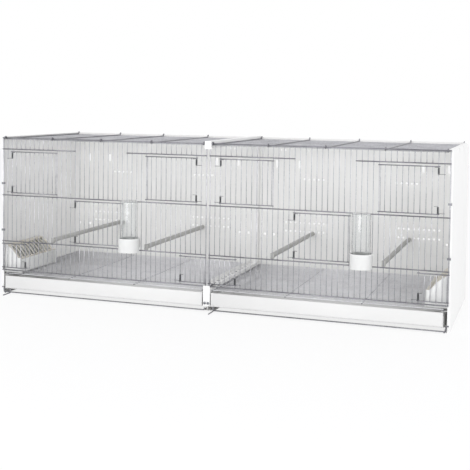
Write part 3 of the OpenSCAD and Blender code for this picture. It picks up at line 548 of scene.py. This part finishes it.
# painted shade: the trays' coat is greyer than the end panels' white
shaded_tray_coat = painted_sheet("white_powder_coat_tray", "#e6e6e5", "#dededd")
sheet, sheared = 0.0007, 0.0001  # the sheet's thickness, and how far its cut edges are broken
fold_bend, face_bend, face_reach = 0.0007, 0.004, 0.006
lip, hem, hem_gap = 0.005, 0.005, 0.0016
wall_h, wall_start, cheek_start = 0.024, 0.003, 0.004
edge = sheet / 2
for half in ("left", "right"):
    low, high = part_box("tray_" + half)
    wall_top = low.z + wall_h
    face, back, base = low.y + edge, high.y - edge, low.z + edge
    turned = bent([(low.y + lip, high.z - edge), (face, high.z - edge), (face, base + face_reach)], fold_bend)
    foot = bent([(face, base + face_reach), (face, base), (face + face_reach, base)], face_bend)
    rear = bent([(face + face_reach, base), (back, base), (back, wall_top), (back - hem_gap, wall_top),
                 (back - hem_gap, wall_top - hem)], fold_bend)
    route = np.concatenate([turned, foot[1:], rear[1:]])
    parts = [carried(strip(route, sheet), "x", low.x, high.x, ease=sheared)]
    cheek = [(low.y, low.z + cheek_start), (low.y, high.z), (low.y + lip, high.z),
             (low.y + lip, low.z + cheek_start)]
    for x, way in ((low.x + edge, 1), (high.x - edge, -1)):
        fold = x + way * hem_gap
        wall = bent([(x, low.z), (x, wall_top), (fold, wall_top), (fold, wall_top - hem)], fold_bend)
        parts.append(carried(strip(wall, sheet), "y", low.y + wall_start, high.y - hem_gap, ease=sheared))
        parts.append(carried(cheek, "x", x - edge, x + edge, ease=sheared))
    piece("folded_tray_" + half, parts, shaded_tray_coat, "tray_" + half, "white_sheet", "tray_" + half)

# ---- Feeders
# Troughs moulded in white polypropylene, hung inside the feeder doors: a high
# outer wall, a lower inner one, and sloping end plates that carry the comb.


def eased(corners, bend):
    """Closed outline with each of its corners rounded as bent rounds them"""
    corners = np.asarray(corners, float)
    join = (corners[:1] + corners[-1:]) / 2
    return bent(np.concatenate([join, corners, join]), bend, steps=4)[:-1]


def moulded(name, colour, thin_colour, roughness, specular, grain):
    """Moulded plastic. A fine eroded grain of 0.6 mm, tone that drifts over some 40 mm, and a little
    light that passes through the skin and softens the edges"""
    plastic, tree = bare_material(name)
    place = add_node(tree, "TexCoord")
    drift = add_node(tree, "TexNoise", {"Vector": place.outputs["Object"], "Scale": 25.0, "Detail": 2.0})
    fine = add_node(tree, "TexNoise", {"Vector": place.outputs["Object"], "Scale": 1600.0, "Detail": 1.0})
    mix = add_node(tree, "Mix", {
        0: drift.outputs["Fac"], 6: linear(colour), 7: linear(thin_colour)}, data_type="RGBA")
    rough = add_node(tree, "MapRange", {
        "Value": drift.outputs["Fac"], "To Min": roughness, "To Max": roughness + 0.1})
    bump = add_node(tree, "Bump", {"Height": fine.outputs["Fac"], "Strength": grain, "Distance": 0.0002})
    shader = add_node(tree, "BsdfPrincipled", {
        "Base Color": mix.outputs[2], "Roughness": rough.outputs[0], "Normal": bump.outputs[0],
        "IOR": 1.5, "Specular IOR Level": specular, "Subsurface Weight": 0.3, "Subsurface Scale": 0.006,
        "Subsurface Radius": (1, 1, 1)})
    add_node(tree, "OutputMaterial", {"Surface": shader.outputs[0]})
    return plastic


white_plastic = moulded("white_polypropylene", "#eeefee", "#e6e7e5", 0.28, 0.5, 0.05)
feeder_wall, rim, plate_t, comb_t = 0.0016, 0.002, 0.002, 0.0019
trough_bend, plate_bend = 0.004, 0.0012
feeders = {half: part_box("feeder_" + half) for half in ("left", "right")}
feeder_w, _, feeder_h = feeders["left"][1] - feeders["left"][0]
slope = np.array([  # upper edge of the end plates, from beside the outer wall down to the inner rim
    (0.009, feeder_h), (feeder_w - 0.027, feeder_h - 0.015), (feeder_w - 0.012, feeder_h - 0.034),
    (feeder_w - rim, feeder_h - 0.035)])


def inward(half, points, low, high):
    """Places (distance from the end panel's side, height) points in a half: x from its outer side, and
    z from its foot"""
    points = np.asarray(points, float)
    x = low.x + points[:, 0] if half == "left" else high.x - points[:, 0]
    return np.stack([x, low.z + points[:, 1]], axis=1)


edge = feeder_wall / 2
inner_x, lip_z = feeder_w - rim - edge, slope[-1][1] - comb_t - play  # the inner wall ends under the comb
trough = bent([(edge, feeder_h), (edge, edge), (inner_x, edge), (inner_x, lip_z)], trough_bend)
end_plate = np.concatenate([[(0, 0), (0, feeder_h)], slope, [(feeder_w, 0)]])
for half, (low, high) in feeders.items():
    parts = [carried(inward(half, strip(trough, feeder_wall), low, high), "y", low.y, high.y)]
    for y in (low.y, high.y - plate_t):
        parts.append(carried(inward(half, eased(end_plate, plate_bend), low, high), "y", y, y + plate_t))
    piece("moulded_feeder_" + half, parts, white_plastic, "cage", "white_plastic", "feeder_" + half)

# ---- Feeder combs
# A grey moulded grid, less glossy than the trough that it is clipped over. Its
# slots let a bird reach the seed and keep it from being raked out.

comb_plastic = moulded("grey_polypropylene", "#d8d3c8", "#ccc7bb", 0.42, 0.4, 0.08)
comb_edge, comb_foot, comb_pitch, comb_bar = 0.004, 0.007, 0.015, 0.005
bar_lap, bar_ease = 0.0005, 0.0005  # how far a bar runs into the strips at its ends, and its broken edges
cover = np.concatenate([[(feeder_wall + play, feeder_h)], slope])
slot_start, slot_end = slope[0][0] + comb_edge, slope[-1][0] - comb_foot


def span(half, first, last):
    """The comb's outline between two distances from the panel: its upper face, and the same line lower
    by comb_t"""
    between = cover[(cover[:, 0] > first) & (cover[:, 0] < last)]
    ends = [(at, np.interp(at, *cover.T)) for at in (first, last)]
    upper = np.concatenate([ends[:1], between, ends[1:]])
    return inward(half, np.concatenate([upper, (upper - (0, comb_t))[::-1]]), *feeders[half])


for half in feeders:
    low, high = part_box("feeder_comb_" + half)
    parts = [carried(span(half, cover[0][0], slot_start), "y", low.y, high.y),
             carried(span(half, slot_end, cover[-1][0]), "y", low.y, high.y)]
    slots = int((high.y - low.y - comb_pitch / 2) / comb_pitch)
    margin = (high.y - low.y - slots * comb_pitch - comb_bar) / 2
    edges = low.y + margin + comb_pitch * np.arange(slots + 1)
    bar = span(half, slot_start - bar_lap, slot_end + bar_lap)
    parts += [carried(bar, "y", y, y + comb_bar, ease=bar_ease) for y in edges[1:-1]]
    parts += [carried(bar, "y", low.y, edges[0] + comb_bar), carried(bar, "y", edges[-1], high.y)]
    piece("feeder_grid_" + half, parts, comb_plastic, "cage", "comb_plastic", "feeder_comb_" + half)

# ---- Perches
# Grey moulded bars with twelve ribs for grip. A clip at the front straddles an
# upright over the low rod, and the rear end stands against the rear sheet.

perch_plastic = moulded("grey_ribbed_plastic", "#b9b9b6", "#a9a9a6", 0.45, 0.4, 0.1)
perch_r, rib_depth, ribs, rib_points = 0.006, 0.0008, 12, 6
perch_z = 0.153  # height of the bars' centres
bar_sink, end_ease = 0.001, 0.0008  # how far a bar runs into its clip, and its broken ends
clip_t, clip_w, clip_bend, clip_ease = 0.004, 0.0045, 0.0005, 0.0006
slot = thin + play
slot_y, bar_y = front_y + slot, front_y + slot + clip_t
angle = 2 * np.pi * np.arange(ribs * rib_points) / (ribs * rib_points)
reach = perch_r - rib_depth * (0.5 - 0.5 * np.cos(ribs * angle)) ** 2
for number in (1, 2, 3, 4):
    node = f"perch_{number}"
    low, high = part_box(node)
    x = (low.x + high.x) / 2
    section = np.stack([x + reach * np.cos(angle), perch_z + reach * np.sin(angle)], axis=1)
    clip = [(x - clip_w, low.y), (x - slot, low.y), (x - slot, slot_y), (x + slot, slot_y),
            (x + slot, low.y), (x + clip_w, low.y), (x + clip_w, bar_y), (x - clip_w, bar_y)]
    parts = [carried(section, "y", bar_y - bar_sink, high.y, ease=end_ease),
             carried(eased(clip, clip_bend), "z", low.z, high.z, ease=clip_ease)]
    piece(node + "_ribbed", parts, perch_plastic, "cage", "perch_plastic", node)

# ---- Drinkers
# A white polypropylene cup with a spout that reaches in between two uprights. A
# tube of clear polystyrene, a little hazy, stands in it upside down and fills it.

glassy, tree = bare_material("clear_polystyrene")
place = add_node(tree, "TexCoord")
haze = add_node(tree, "TexNoise", {"Vector": place.outputs["Object"], "Scale": 60.0, "Detail": 2.0})
rough = add_node(tree, "MapRange", {"Value": haze.outputs["Fac"], "To Min": 0.02, "To Max": 0.08})
shader = add_node(tree, "BsdfPrincipled", {
    "Base Color": linear("#fbfcfc"), "Roughness": rough.outputs[0], "IOR": 1.5, "Transmission Weight": 1.0})
add_node(tree, "OutputMaterial", {"Surface": shader.outputs[0]})

round_sides = 64
cup_wall, cup_floor = 0.0017, 0.002
spout_w, spout_h, spout_rise = 0.0104, 0.017, 0.015  # its width, its upright end and the curve over that
spout_lap, sole_inset, sole_bend = 0.002, 0.0004, 0.0022
spout_z = low_z + thick + 0.00045  # its underside clears the low rod
shoulder = front_y - 2 * thin
fall = np.radians(np.linspace(90, 0, 9))
tube_wall, dome_r, cap_r, lip_ease = 0.0012, 0.006, 0.004, 0.0003  # cap_r: flat middle of the closed end
mouth_h, mouth_half, mouth_ease = 0.006, 0.0065, 0.0015  # two notches in the rim let the water out
mouth_top = 0.012  # the first ring of the wall above the notches
turn = np.radians(np.linspace(0, 90, 7))
angle = 2 * np.pi * np.arange(round_sides) / round_sides
for half in ("left", "right"):
    low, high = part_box("drinker_cup_" + half)
    r = (high.x - low.x) / 2
    x, y, top = (low.x + high.x) / 2, low.y + r, high.z
    inner = r - cup_wall
    bowl = [(inner - 0.004, low.z + 0.0008), (r - 0.0035, low.z),  # hollow under the foot
            (r - 0.0012, low.z + 0.0004), (r - 0.0004, low.z + 0.0016),  # rounded lower edge
            (r - 0.0004, top - 0.003), (r, top - 0.0022), (r, top - 0.0006),  # wall and bead
            (r - 0.0005, top), (inner + 0.0004, top), (inner, top - 0.0005),  # over the rim
            (inner, low.z + cup_floor + 0.003), (inner - 0.0009, low.z + cup_floor + 0.0009),
            (inner - 0.003, low.z + cup_floor)]  # rounded corner of the floor
    start = y + inner - spout_lap
    crown = np.stack([shoulder + (high.y - shoulder) * np.cos(fall),
                      spout_z + spout_h + spout_rise * np.sin(fall)], axis=1)
    cheek = np.concatenate([[(start, spout_z), (high.y, spout_z)], crown[::-1], [(start, crown[0, 1])]])
    west, east = x - spout_w / 2, x + spout_w / 2
    sole_y, sole_z = high.y - cup_wall / 2, spout_z + cup_wall / 2
    sole = bent([(start, sole_z), (sole_y, sole_z), (sole_y, spout_z + spout_h)], sole_bend)
    parts = [lathe(bowl, (x, y, 0), round_sides),
             carried(cheek, "x", west, west + cup_wall), carried(cheek, "x", east - cup_wall, east),
             carried(strip(sole, cup_wall), "x", west + sole_inset, east - sole_inset)]
    piece("drinker_bowl_" + half, parts, white_plastic, "cage", "white_plastic", "drinker_cup_" + half)

    low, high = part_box("drinker_tube_" + half)
    r = (high.x - low.x) / 2
    bore = r - tube_wall
    corner, top = r - dome_r, high.z - dome_r
    outside = np.stack([corner + dome_r * np.cos(turn), top + dome_r * np.sin(turn)], axis=1)
    inside = np.stack([corner + (dome_r - tube_wall) * np.cos(turn),
                       top + (dome_r - tube_wall) * np.sin(turn)], axis=1)
    profile = np.concatenate([
        [(cap_r, high.z - tube_wall)], inside[::-1],
        [(bore, low.z + mouth_top), (bore, low.z + lip_ease), (bore + lip_ease, low.z)],
        [(r - lip_ease, low.z), (r, low.z + lip_ease), (r, low.z + mouth_top)],
        outside, [(cap_r, high.z)]])
    notch = mouth_h * np.clip((mouth_half - np.abs(r * np.cos(angle))) / mouth_ease, 0, 1)
    at_lip = profile[:, 1] < low.z + mouth_top / 2
    centre = ((low.x + high.x) / 2, (low.y + high.y) / 2, 0)
    parts = [lathe(profile, centre, round_sides, at_lip[:, None] * notch)]
    piece("drinker_glass_" + half, parts, glassy, "drinker_tube_" + half, "clear_plastic",
          "drinker_tube_" + half)
